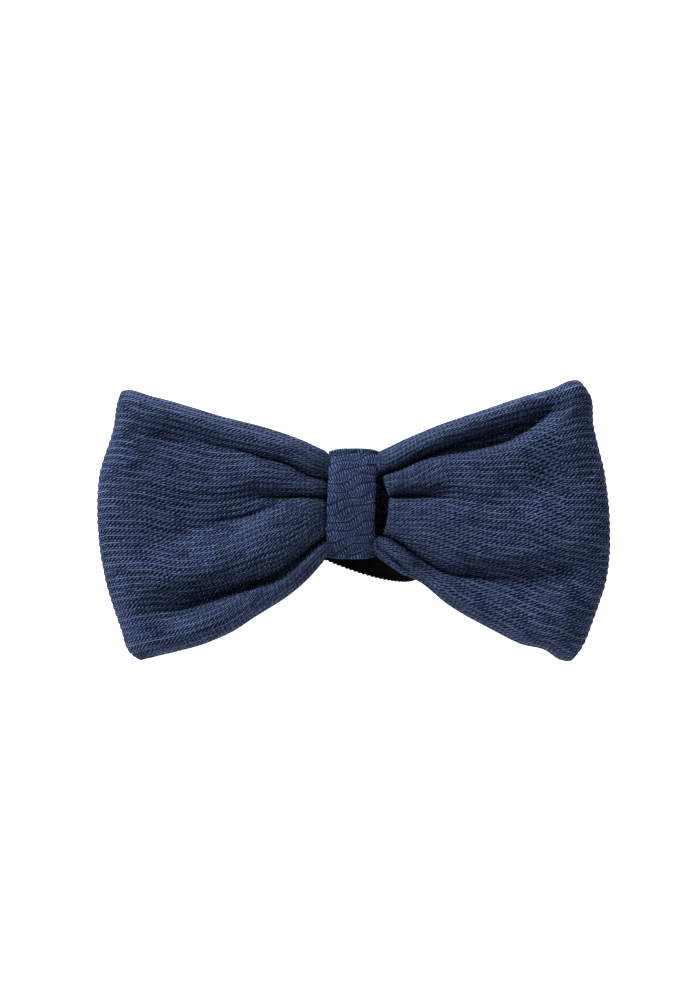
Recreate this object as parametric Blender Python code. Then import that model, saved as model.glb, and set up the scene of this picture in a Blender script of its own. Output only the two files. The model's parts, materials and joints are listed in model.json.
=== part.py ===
"""Hair bow: a knitted fabric bow on an elastic hair loop.

The knot's flat back is the plane y = 0 and its centre is the origin. The bow faces -Y, the hair is
towards +Y, +X is the wearer's view to the right and +Z is up. Every size below is in millimetres.
"""

import math

import bmesh
import bpy
from mathutils import Vector

MM = 0.001
GAP = 0.3  # between pieces that touch

# Centre band, the strip wrapped round the knot.
BAND_WIDTH = 11.2
BAND_HEIGHT = 24.8
BAND_DEPTH = 13.8
BAND_WALL = 1.1
LAP_STEP = 0.9  # the strip's end laps over its start and stands this proud at the back
LAP_EDGE_Z = -3.5  # height of the lapped end's lower edge
BAND_CORNER = 3.4  # radius of the ring's corners

# Flat elastic.
ELASTIC_WIDTH = 9.0
ELASTIC_THICK = 1.1
SPLICE_REACH = 3.5  # each cut end runs this far past the middle of the knot
STEP_X = (3.9, 4.6)  # the front layer steps back level with the other between these
BEND_RADIUS = 2.6
BEND_X = 5.45  # centre of the bend round the band's edge
HINGE_Y = 5.1  # the loop swings about this line
END_CLEARANCE = 0.4  # between a leg's round end and the knot's own stub of elastic
LEG_START_Y = 0.9
LOOP_HALF = ((7.9, 9.5), (10.6, 15.0), (13.9, 21.0), (15.0, 26.0), (13.2, 32.0), (8.0, 37.0), (0.0, 38.8))
BACK_SPAN_Y = 25.0  # the legs end and the back span begins here
LOOP_PITCH = 0.333  # fall per millimetre backwards
LOOP_ROLL = 0.373  # fall per millimetre to the right, once clear of the knot
ROLL_FROM = 5.0
ROLL_FULL = 20.0

# Wings. Each outline point is (distance from the middle plane, height).
NECK_RADIUS = 3.25  # half the neck's depth, and the radius of its rounded end
WING_HINGE_X = 9.2
WING_INNER_X = 5.6  # the outlines start here, at the band's edge
WING_MOUTH_X = 6.7
WING_WALL = 0.9
WING_OUTLINES = {
    "left": {
        "top": ((5.6, 11.9), (19.7, 17.0), (34.0, 21.1), (51.7, 25.3)),
        "outer": ((46.1, -35.2), (51.0, -29.5), (54.9, -18.8), (57.1, -4.0), (54.7, 13.4), (51.7, 25.3)),
        "bottom": ((5.6, -12.4), (12.5, -19.3), (26.9, -28.7), (46.1, -35.2)),
    },
    "right": {
        "top": ((5.6, 12.1), (14.3, 15.7), (28.0, 20.4), (49.9, 27.8)),
        "outer": ((47.9, -35.2), (53.6, -27.5), (57.4, -15.0), (57.4, -2.0), (54.9, 14.3), (49.9, 27.8)),
        "bottom": ((5.6, -11.6), (14.3, -17.0), (28.7, -26.9), (47.9, -35.2)),
    },
}
# (distance from the middle plane, half the wing's depth there)
WING_DEPTHS = ((9.2, 3.25), (13.0, 5.2), (20.0, 7.0), (30.0, 6.9), (42.0, 5.6), (52.0, 4.2), (58.0, 3.4))
# The folds gathered into the knot: (height share at the knot, height share at the edge, reach outwards)
WING_PLEATS = {
    "left": ((0.73, 0.87, 0.9), (0.56, 0.45, 0.6), (0.20, 0.20, 0.95)),
    "right": ((0.75, 0.90, 1.0), (0.55, 0.54, 0.5), (0.20, 0.27, 0.8)),
}
PLEAT_DEPTH = 0.5  # share of the wing's depth
PLEAT_WIDTH = 0.06  # share of the wing's height
EDGE_BLUNTNESS = 1.6
WING_SHARES = (0.0, 0.06, 0.13, 0.22, 0.33, 0.45, 0.58, 0.72, 0.86, 0.94, 0.985, 1.0)
ROUND_FROM = 0.88  # the outer edge is rounded over from here
WING_ROWS = 19

# Interlining, a flat fleece sheet inside each wing.
LINING_THICK = 1.4
LINING_OUTLINE = ((17.0, -14.0), (43.0, -25.0), (47.0, -4.0), (44.0, 15.0), (17.0, 9.0))

# Threads.
THREAD = 0.5
WAIST_GROOVE = 1.1
GROOVE_HALF = 1.3
GROOVE_SLOPE = 0.9
THREAD_TURNS = 3
THREAD_PITCH = 0.75
POINTS_PER_TURN = 22
STITCHES = 7
STITCH_REACH = 1.6

# Depths at the knot, from the back forwards.
BAND_BACK = -LAP_STEP
CHANNEL_BACK = BAND_BACK - BAND_WALL - GAP
LAP_BACK = CHANNEL_BACK - ELASTIC_THICK - GAP
STITCH_BACK = LAP_BACK - ELASTIC_THICK - GAP
WAIST_BACK = STITCH_BACK - THREAD - GAP
WAIST_FRONT = -BAND_DEPTH + BAND_WALL + GAP
MIDDLE_Y = (WAIST_BACK + WAIST_FRONT) / 2
WAIST_HALF_DEPTH = (WAIST_BACK - WAIST_FRONT) / 2
WAIST_HALF_HEIGHT = BAND_HEIGHT / 2 - BAND_WALL - GAP
WAIST_HALF_LENGTH = BAND_WIDTH / 2 - GAP

COLOURS = {
    "navy_knit": ((0.031, 0.043, 0.086, 1), 0.9),
    "navy_thread": ((0.025, 0.035, 0.075, 1), 0.7),
    "white_fleece": ((0.75, 0.75, 0.72, 1), 0.95),
    "black_elastic": ((0.006, 0.006, 0.007, 1), 0.75),
    "black_thread": ((0.005, 0.005, 0.006, 1), 0.6),
}


def clear_scene():
    for obj in list(bpy.data.objects):
        bpy.data.objects.remove(obj, do_unlink=True)


def material(name):
    """One Principled material for each finish, made on first use."""
    made = bpy.data.materials.get(name)
    if made is None:
        made = bpy.data.materials.new(name)
        made.use_nodes = True
        colour, roughness = COLOURS[name]
        shader = made.node_tree.nodes["Principled BSDF"]
        shader.inputs["Base Color"].default_value = colour
        shader.inputs["Roughness"].default_value = roughness
        shader.inputs["Metallic"].default_value = 0.0
    return made


def add_object(name, data, finish, parent=None, parts=None):
    obj = bpy.data.objects.new(name, data)
    parts.objects.link(obj)
    data.materials.append(material(finish))
    if parent is not None:
        obj.parent = parent
        obj.location = -parent.location
    return obj


def add_axis(name, place, parts):
    """An empty on a joint's axis, which carries the pieces that move about it."""
    empty = bpy.data.objects.new(name, None)
    empty.location = Vector(place) * MM
    parts.objects.link(empty)
    return empty


def interpolate(table, at):
    """Linear reading of a table of (position, value)."""
    if at <= table[0][0]:
        return table[0][1]
    for (x0, v0), (x1, v1) in zip(table, table[1:]):
        if at <= x1:
            return v0 + (v1 - v0) * (at - x0) / (x1 - x0)
    return table[-1][1]


def ease(t):
    t = min(1.0, max(0.0, t))
    return t * t * (3 - 2 * t)


def spline(points, t):
    """The point at share t of a smooth Catmull-Rom curve through the points, spaced by their chords."""
    points = [Vector(p) for p in points]
    lengths = [0.0]
    for a, b in zip(points, points[1:]):
        lengths.append(lengths[-1] + (b - a).length)
    at = t * lengths[-1]
    i = max(k for k in range(len(points) - 1) if lengths[k] <= at + 1e-9)
    u = (at - lengths[i]) / (lengths[i + 1] - lengths[i])
    before = points[i - 1] if i else points[0] * 2 - points[1]
    after = points[i + 2] if i + 2 < len(points) else points[-1] * 2 - points[-2]
    a, b = points[i], points[i + 1]
    return 0.5 * (
        2 * a + (b - before) * u + (2 * before - 5 * a + 4 * b - after) * u**2 + (3 * a - before - 3 * b + after) * u**3
    )


def loft(name, sections, inner=None):
    """A closed mesh through rings of points. With inner rings it is a shell, open at its first ring."""
    bm = bmesh.new()

    def skin(rings, inwards):
        made = [[bm.verts.new(Vector(p) * MM) for p in ring] for ring in rings]
        for ring, following in zip(made, made[1:]):
            for k in range(len(ring)):
                n = (k + 1) % len(ring)
                quad = (ring[k], ring[n], following[n], following[k])
                bm.faces.new(reversed(quad) if inwards else quad)
        far = made[-1]
        half = len(far) // 2
        for k in range(half - 1):
            quad = (far[k], far[k + 1], far[-k - 2], far[-k - 1])
            bm.faces.new(reversed(quad) if inwards else quad)
        return made[0]

    mouth = skin(sections, False)
    if inner is None:
        bm.faces.new(reversed(mouth))
    else:
        hollow = skin(inner, True)
        for k in range(len(mouth)):
            n = (k + 1) % len(mouth)
            bm.faces.new((mouth[n], mouth[k], hollow[k], hollow[n]))
    bmesh.ops.recalc_face_normals(bm, faces=bm.faces)
    mesh = bpy.data.meshes.new(name)
    bm.to_mesh(mesh)
    bm.free()
    mesh.shade_smooth()
    mesh.set_sharp_from_angle(angle=math.radians(40))
    return mesh


def tube(name, points, diameter):
    """A thread: a POLY curve through the points with filled caps."""
    curve = bpy.data.curves.new(name, "CURVE")
    curve.dimensions = "3D"
    curve.bevel_depth = diameter / 2 * MM
    curve.bevel_resolution = 2
    curve.use_fill_caps = True
    line = curve.splines.new("POLY")
    line.points.add(len(points) - 1)
    for target, point in zip(line.points, points):
        target.co = (*(Vector(point) * MM), 1.0)
    return curve


def flat_outline(name, loops, thickness):
    """A 2D curve filled between its loops and extruded to a thickness along its own Z."""
    curve = bpy.data.curves.new(name, "CURVE")
    curve.dimensions = "2D"
    curve.fill_mode = "BOTH"
    curve.extrude = thickness / 2 * MM
    for loop in loops:
        line = curve.splines.new("POLY")
        line.points.add(len(loop) - 1)
        line.use_cyclic_u = True
        for target, (u, v) in zip(line.points, loop):
            target.co = (u * MM, v * MM, 0.0, 1.0)
    return curve


def arc(centre, radius, start, end, steps=6):
    """Points of an arc, from one angle to another in degrees."""
    found = []
    for k in range(steps + 1):
        angle = math.radians(start + (end - start) * k / steps)
        found.append((centre[0] + radius * math.cos(angle), centre[1] + radius * math.sin(angle)))
    return found


def ring_loop(back, front, half_height, corner):
    """A rounded rectangle in (y, z), anticlockwise from the back's lower corner."""
    return (
        arc((back - corner, -half_height + corner), corner, -90, 0)
        + arc((back - corner, half_height - corner), corner, 0, 90)
        + arc((front + corner, half_height - corner), corner, 90, 180)
        + arc((front + corner, -half_height + corner), corner, 180, 270)
    )


def make_centre_band(parts):
    """The wrapped strip: a ring whose end laps over its start, which leaves a step at the back."""
    half = BAND_HEIGHT / 2
    outer = ring_loop(BAND_BACK, -BAND_DEPTH, half, BAND_CORNER)
    lap_top = half - BAND_CORNER
    lap = [(BAND_BACK, LAP_EDGE_Z), (0.0, LAP_EDGE_Z), (0.0, lap_top - 1.5), (BAND_BACK, lap_top)]
    after_back_corner = 7
    outer[after_back_corner:after_back_corner + 1] = lap
    inner = ring_loop(BAND_BACK - BAND_WALL, -BAND_DEPTH + BAND_WALL, half - BAND_WALL, BAND_CORNER - BAND_WALL)
    curve = flat_outline("centre_band", (outer, inner), BAND_WIDTH)
    band = add_object("centre_band", curve, "navy_knit", parts=parts)
    # The curve's own X, Y and Z become the frame's Y, Z and X.
    band.rotation_euler = (math.radians(90), 0, math.radians(90))
    return band


def make_closing_stitches(parts):
    """The thread that closes the band, zigzagging beside the lapped edge."""
    half_run = BAND_WIDTH / 2 - 1.2
    y = BAND_BACK + GAP + THREAD / 2
    top = LAP_EDGE_Z - GAP - THREAD / 2
    points = []
    for k in range(2 * STITCHES + 1):
        x = half_run * (k / STITCHES - 1)
        points.append((x, y, top - STITCH_REACH * (k % 2)))
    add_object("band_closing_stitches", tube("band_closing_stitches", points, THREAD), "navy_thread", parts=parts)


def make_splice_stitches(parts):
    """The zigzag that joins the elastic's lapped ends, lying on the front of them."""
    half_run = ELASTIC_WIDTH / 2 - 0.8
    y = STITCH_BACK - THREAD / 2
    points = []
    for k in range(2 * STITCHES + 1):
        points.append((STITCH_REACH * (k % 2 - 0.5), y, half_run * (k / STITCHES - 1)))
    add_object("splice_stitches", tube("splice_stitches", points, THREAD), "black_thread", parts=parts)


def rounded_section(x, half_depth, half_height, count=32, power=4):
    """A superellipse across the knot at x."""
    ring = []
    for k in range(count):
        angle = 2 * math.pi * (k + 0.5) / count
        c, s = math.cos(angle), math.sin(angle)
        y = MIDDLE_Y + half_depth * math.copysign(abs(c) ** (2 / power), c)
        z = half_height * math.copysign(abs(s) ** (2 / power), s)
        ring.append((x, y, z))
    return ring


def make_waist(parts):
    """The gathered middle of the fabric, with a groove where the thread pulls it in."""
    stations = (
        (-WAIST_HALF_LENGTH, 0.0),
        (-GROOVE_HALF - GROOVE_SLOPE, 0.0),
        (-GROOVE_HALF, WAIST_GROOVE),
        (GROOVE_HALF, WAIST_GROOVE),
        (GROOVE_HALF + GROOVE_SLOPE, 0.0),
        (WAIST_HALF_LENGTH, 0.0),
    )
    rings = [rounded_section(x, WAIST_HALF_DEPTH - inset, WAIST_HALF_HEIGHT - inset) for x, inset in stations]
    add_object("gathered_waist", loft("gathered_waist", rings), "navy_knit", parts=parts)
    clearance = GAP + THREAD / 2 - WAIST_GROOVE
    points = []
    for k in range(THREAD_TURNS * POINTS_PER_TURN + 1):
        turn = k / POINTS_PER_TURN
        x = (turn - THREAD_TURNS / 2) * THREAD_PITCH
        ring = rounded_section(x, WAIST_HALF_DEPTH + clearance, WAIST_HALF_HEIGHT + clearance, POINTS_PER_TURN, 3)
        points.append(ring[k % POINTS_PER_TURN])
    add_object("gathering_thread", tube("gathering_thread", points, THREAD), "navy_thread", parts=parts)


def strap(name, stations):
    """A flat band through (place, along, half width) stations. Its width stays as near upright as it can."""
    rings = []
    for place, along, half_width in stations:
        along = Vector(along).normalized()
        up = Vector((0, 0, 1))
        width = (up - along * up.dot(along)).normalized()
        out = along.cross(width)
        place, half_thick = Vector(place), ELASTIC_THICK / 2
        corners = ((-1, -1), (1, -1), (1, 1), (-1, 1))
        rings.append([place + out * a * half_thick + width * b * half_width for a, b in corners])
    return loft(name, rings)


def make_splice_end(side, depth, parts):
    """One cut end of the elastic: across the knot, then round the band's edge and out at the back."""
    sign = -1 if side == "left" else 1
    middle = CHANNEL_BACK - ELASTIC_THICK / 2
    bend_y = middle + BEND_RADIUS
    start_y = depth - ELASTIC_THICK / 2
    stations = [((-sign * SPLICE_REACH, start_y, 0), (sign, 0, 0)), ((sign * STEP_X[0], start_y, 0), (sign, 0, 0))]
    if depth != CHANNEL_BACK:
        stations.append(((sign * STEP_X[1], (start_y + middle) / 2, 0), (sign, 1.2, 0)))
    for x, y in arc((BEND_X, bend_y), BEND_RADIUS, -90, 0, 6):
        stations.append(((sign * x, y, 0), (sign * (bend_y - y), x - BEND_X, 0)))
    stub_end = HINGE_Y - ELASTIC_WIDTH / 2 - END_CLEARANCE
    stations.append(((sign * (BEND_X + BEND_RADIUS), stub_end, 0), (0, 1, 0)))
    name = f"elastic_end_{side}"
    rings = [(place, along, ELASTIC_WIDTH / 2) for place, along in stations]
    add_object(name, strap(name, rings), "black_elastic", parts=parts)


def loop_place(x, y):
    """The point of the loop's centreline over (x, y): it falls backwards and to the right."""
    roll = LOOP_ROLL * ease((y - ROLL_FROM) / (ROLL_FULL - ROLL_FROM))
    return Vector((x, y, -LOOP_PITCH * (y - HINGE_Y) - roll * x))


def loop_line(count=72):
    """The loop's centreline from the left leg's end, round the back, to the right leg's end."""
    leg_x = BEND_X + BEND_RADIUS
    half = [(leg_x, LEG_START_Y), (leg_x, HINGE_Y)] + list(LOOP_HALF)
    route = [(-x, y) for x, y in half] + [(x, y) for x, y in reversed(half[:-1])]
    return [loop_place(*spline(route, k / count)) for k in range(count + 1)]


def strap_stations(line, first, last):
    """Stations of a strap along part of a line, narrowed to a round end inside half a width of the hinge."""
    found = []
    for k in range(first, last + 1):
        along = line[min(k + 1, len(line) - 1)] - line[max(k - 1, 0)]
        before_hinge = max(0.0, (HINGE_Y - line[k].y) * math.hypot(1, LOOP_PITCH))
        half_width = math.sqrt(max(0.8, (ELASTIC_WIDTH / 2) ** 2 - before_hinge**2))
        found.append((line[k], along, half_width))
    return found


def make_elastic_loop(parts):
    """Both legs swing about the hinge line. The back span slides away from it as the elastic stretches."""
    swing = add_axis("loop_swing_axis", (0, HINGE_Y, 0), parts)
    line = loop_line()
    first = next(k for k, p in enumerate(line) if p.y > BACK_SPAN_Y)
    last = len(line) - 1 - first
    spans = {
        "elastic_leg_left": (0, first - 1),
        "elastic_back_span": (first, last),
        "elastic_leg_right": (last + 1, len(line) - 1),
    }
    for name, (start, end) in spans.items():
        stations = strap_stations(line, start, end)
        if name != "elastic_back_span":
            # The leg runs on until it stands a gap away from the back span.
            inner = -1 if start == 0 else 0
            neighbour = line[first] if start == 0 else line[last]
            place, along, half_width = stations[inner]
            step = neighbour - place
            reached = place + step * (1 - GAP / step.length)
            stations[inner] = (reached, step if start == 0 else -step, half_width)
        add_object(name, strap(name, stations), "black_elastic", swing, parts)


def patch(outline, s, r):
    """A place on the wing's middle sheet: s runs from the knot outwards and r from the bottom to the top."""
    top, bottom = spline(outline["top"], s), spline(outline["bottom"], s)
    outer = spline(outline["outer"], r)
    neck = Vector(outline["bottom"][0]).lerp(Vector(outline["top"][0]), r)
    corners = neck.lerp(Vector(outline["bottom"][-1]).lerp(Vector(outline["top"][-1]), r), s)
    return bottom.lerp(top, r) + neck.lerp(outer, s) - corners


def half_depth(x):
    """Half the wing's depth at a distance from the middle plane. The neck's end is round about the hinge."""
    if x < WING_HINGE_X:
        return math.sqrt(max(0.3, NECK_RADIUS**2 - (WING_HINGE_X - x) ** 2))
    return interpolate(WING_DEPTHS, x)


def pleated(side, s, r):
    """What the pleats leave of the wing's depth, as a share."""
    left = 1.0
    for at_knot, at_edge, reach in WING_PLEATS[side]:
        centre = at_knot + (at_edge - at_knot) * s
        fade = ease(s / 0.12) * ease((reach - s) / 0.5)
        left -= PLEAT_DEPTH * fade * math.exp(-(((r - centre) / PLEAT_WIDTH) ** 2))
    return left


def wing_rings(side, inset):
    """Rings of the wing's skin from its mouth outwards, taken in by the inset all round."""
    sign = -1 if side == "left" else 1
    outline = WING_OUTLINES[side]
    mouth = (WING_MOUTH_X - WING_INNER_X) / (outline["top"][-1][0] - WING_INNER_X)
    rings = []
    for share in WING_SHARES:
        s = (mouth + (1 - mouth) * share) * (1 - inset / 50 * min(1, share * 20))
        rounding = math.sqrt(1 - 0.85 * max(0.0, (s - ROUND_FROM) / (1 - ROUND_FROM)) ** 2)
        tall = (patch(outline, s, 1.0) - patch(outline, s, 0.0)).length
        front, back = [], []
        for k in range(WING_ROWS):
            across = -math.cos(math.pi * k / (WING_ROWS - 1))
            r = 0.5 + across * (0.5 - inset / tall)
            place = patch(outline, s, r)
            deep = half_depth(place.x) * rounding - inset
            bluntness = EDGE_BLUNTNESS * tall / 2 / max(deep, 0.5)
            bulge = max(0.12, math.sqrt(max(0.0, 1 - abs(across) ** bluntness)))
            reach = deep * bulge * pleated(side, s, r)
            front.append((sign * place.x, MIDDLE_Y - reach, place.y))
            back.append((sign * place.x, MIDDLE_Y + reach, place.y))
        rings.append(front + back[::-1])
    return rings


def make_wing(side, parts):
    """One wing: a fabric shell that opens at the knot, with the interlining inside it."""
    sign = -1 if side == "left" else 1
    axis = add_axis(f"{side}_wing_axis", (sign * WING_HINGE_X, MIDDLE_Y, 0), parts)
    skin = loft(f"{side}_wing", wing_rings(side, 0.0), wing_rings(side, WING_WALL))
    add_object(f"{side}_wing", skin, "navy_knit", axis, parts)
    loop = [(sign * x, z) for x, z in LINING_OUTLINE]
    curve = flat_outline(f"{side}_interlining", (loop if sign > 0 else loop[::-1],), LINING_THICK)
    lining = add_object(f"{side}_interlining", curve, "white_fleece", axis, parts)
    lining.rotation_euler = (math.radians(90), 0, 0)
    lining.location += Vector((0, MIDDLE_Y * MM, 0))


def main():
    clear_scene()
    parts = bpy.data.collections.new("hair_bow")
    bpy.context.scene.collection.children.link(parts)
    make_centre_band(parts)
    make_closing_stitches(parts)
    make_waist(parts)
    make_splice_end("left", CHANNEL_BACK, parts)
    make_splice_end("right", LAP_BACK, parts)
    make_splice_stitches(parts)
    make_elastic_loop(parts)
    make_wing("left", parts)
    make_wing("right", parts)


main()
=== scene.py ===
"""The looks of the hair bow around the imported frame: knitted wings, wrapped band, ribbed elastic, thread.

Lengths in the tables are millimetres, and heights are above the knot's centre. The bow faces -Y.
"""

import json
import math

import bpy
import numpy as np
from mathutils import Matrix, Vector


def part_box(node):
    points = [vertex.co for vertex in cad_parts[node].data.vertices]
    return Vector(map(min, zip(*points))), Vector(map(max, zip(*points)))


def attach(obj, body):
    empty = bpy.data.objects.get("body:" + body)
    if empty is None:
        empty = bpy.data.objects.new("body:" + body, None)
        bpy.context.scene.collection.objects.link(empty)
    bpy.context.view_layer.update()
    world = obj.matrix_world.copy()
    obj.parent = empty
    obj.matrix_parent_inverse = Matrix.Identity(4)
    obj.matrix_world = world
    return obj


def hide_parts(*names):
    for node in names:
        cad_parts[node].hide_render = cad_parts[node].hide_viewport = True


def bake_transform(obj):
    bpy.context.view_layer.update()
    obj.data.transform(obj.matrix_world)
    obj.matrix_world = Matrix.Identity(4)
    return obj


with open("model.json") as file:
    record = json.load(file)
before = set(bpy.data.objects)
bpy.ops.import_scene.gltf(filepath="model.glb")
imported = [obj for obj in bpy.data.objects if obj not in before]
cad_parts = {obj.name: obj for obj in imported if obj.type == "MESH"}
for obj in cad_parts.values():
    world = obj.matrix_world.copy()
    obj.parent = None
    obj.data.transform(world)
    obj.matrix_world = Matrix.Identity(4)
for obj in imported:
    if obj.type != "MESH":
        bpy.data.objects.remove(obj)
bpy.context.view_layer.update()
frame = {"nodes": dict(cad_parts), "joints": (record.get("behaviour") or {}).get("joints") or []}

MM = 0.001

# Places read from the frame, in millimetres.
WAIST_LOW, WAIST_HIGH = (np.array(c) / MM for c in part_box("gathered_waist"))
BAND_LOW, BAND_HIGH = (np.array(c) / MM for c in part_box("centre_band"))
MIDDLE_Y = (WAIST_LOW[1] + WAIST_HIGH[1]) / 2
JOINTS = {joint["name"]: joint for joint in frame["joints"]}
LOOP_HINGE_Y = JOINTS["loop_swing"]["pos_m"][1] / MM

# The knit of the wings.
RIB_PITCH = 1.36
RIB_HEIGHT = 0.2
RIB_WANDER = 0.15  # the ribs' height varies by this share
STITCH_PITCH = 0.98

# The knit of the band.
BAND_RIB_PITCH = 2.2
BAND_RIB_HEIGHT = 0.03
BAND_RIB_DEPTH = 0.07  # depth of the grooves between its ribs
BAND_GROOVE = 0.1  # half width of a groove, as a share of the pitch
BAND_RIB_RISE = 2.6  # how much higher a rib is at its right end
BAND_STITCH_PITCH = 0.57

# The band's strip.
STRIP_WIDTH = BAND_HIGH[0] - BAND_LOW[0]
STRIP_THICK = 1.0
BAND_CORNER = 3.4  # outer radius of its bends
BAND_BULGE = 2.8  # how far its front curves back towards the top and the bottom
BAND_FORWARD = 0.3  # how far the middle of its front stands out
BAND_EDGE_DROP = 0.75  # how far its edges sink in
BAND_DRAWN_IN = 0.5  # how far the right wing draws its edge in at mid height
BAND_LEAN = math.radians(2.0)
BAND_STEP = 0.19
BAND_SMOOTHING = 12
HIDDEN_START_Z = 6.0
LAP_STEP = 0.9  # the strip under the lap lies this far in
LAP_PROUD = 0.05  # the lap stands this far past the frame's band
LAP_START_Z = 5.2
LAP_EDGE_Z = -3.5

# The elastic: its route is the loop's in the frame, as (half width of the loop, depth).
ELASTIC_WIDTH = 9.0
ELASTIC_THICK = 1.0
ELASTIC_RIB_PITCH = 0.94
ELASTIC_RIB_HEIGHT = 0.3
ELASTIC_WALE = 1.5  # spacing of the rows along it
ELASTIC_SCALLOP = 0.06  # its edges are drawn in by this share between the ribs
ELASTIC_SWELL = 1.08  # overall thickness against ELASTIC_THICK
ELASTIC_STEP = 0.118
ELASTIC_SMOOTHING = 200
ELASTIC_BEND = 2.6  # radius of its bends beside the knot
ELASTIC_BEND_X = 5.45
LAPPED_END_X = 3.5
CHANNEL_Y = -2.85  # middle of the layer that runs straight through the knot
FRONT_LAYER_Y = -4.25  # middle of the other end's layer, lapped in front of it
LOOP_HALF = (
    (7.9, 9.5), (10.6, 15.0), (13.9, 21.0), (15.0, 26.0), (13.2, 32.0), (8.0, 37.0), (0.0, 38.8),
)
LOOP_STEPS = 240
LOOP_PITCH = 0.333  # how steeply the loop droops
PITCH_FROM_Y = 2.0
PITCH_EASE = 3.0
LOOP_ROLL = 0.373  # how steeply it tilts down to the right
ROLL_FROM_Y = 5.0
ROLL_OVER = 15.0
LOOP_CUT_Y = 11.0  # up to here its ends are pieces of their own, because they bend at the knot
CUT_SEARCH = 40  # stations among which each cut looks for a groove between two ribs

# Sewing thread. Its colours are dark and light, in linear red, green and blue; on twisted thread the dark
# one is painted shade between the plies.
THREAD = 0.42
THREAD_STEP = 0.12
THREAD_SMOOTHING = 3
PLY_TURN = 1.1  # length of one turn of its two plies
PLY_SWELL = 0.16
NAVY_THREAD = ((0.010, 0.015, 0.036), (0.060, 0.082, 0.165))
BLACK_THREAD = ((0.002, 0.002, 0.0025), (0.020, 0.020, 0.023))
WHIP_STITCHES = 8
WHIP_SLANT = 0.42

# Wing outlines: (distance from the middle plane, height).
INNER_X = 5.6
WING_LENGTH = 51.0
CORNER_RADIUS = 1.3
CORNER_FADE = 10.0  # a corner's rounding fades out over one part in this many of the height
OUTLINES = {
    "left": {
        "top": (
            (5.6, 11.8), (10.8, 14.0), (16.1, 16.0), (30.5, 19.9), (44.8, 23.9), (50.6, 25.4), (52.0, 25.2),
        ),
        "outer": (
            (48.0, -35.3), (49.4, -34.2), (51.9, -27.8), (55.3, -17.1), (57.1, -4.0), (56.7, 6.2),
            (53.5, 17.0), (52.5, 23.6), (52.0, 25.2),
        ),
        "bottom": (
            (5.6, -12.1), (9.0, -16.0), (12.5, -19.2), (21.5, -25.2), (26.9, -28.7), (32.3, -31.0),
            (44.8, -34.3), (48.0, -35.3),
        ),
    },
    "right": {
        "top": (
            (5.6, 11.6), (9.0, 13.1), (17.9, 17.0), (32.3, 21.9), (39.4, 24.1), (44.8, 25.7), (48.6, 27.4),
            (50.2, 27.6), (51.7, 27.1),
        ),
        "outer": (
            (49.8, -34.8), (51.0, -33.2), (54.0, -26.1), (57.3, -15.3), (57.8, -6.3), (56.7, 6.2),
            (54.2, 17.0), (53.1, 25.0), (51.7, 27.1),
        ),
        "bottom": (
            (5.6, -12.1), (10.8, -15.5), (14.3, -17.1), (21.5, -22.7), (32.3, -28.7), (37.6, -31.2),
            (43.0, -32.5), (46.6, -34.8), (48.6, -35.2), (49.8, -34.8),
        ),
    },
}
# (distance from the middle plane, half the wing's depth there)
HULL = (
    (0.0, 2.3), (1.6, 2.4), (3.0, 2.9), (5.0, 3.0), (6.2, 3.7), (8.0, 4.6), (13.0, 5.9), (20.0, 7.2),
    (30.0, 7.4), (42.0, 7.2), (52.0, 6.4),
)
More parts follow.
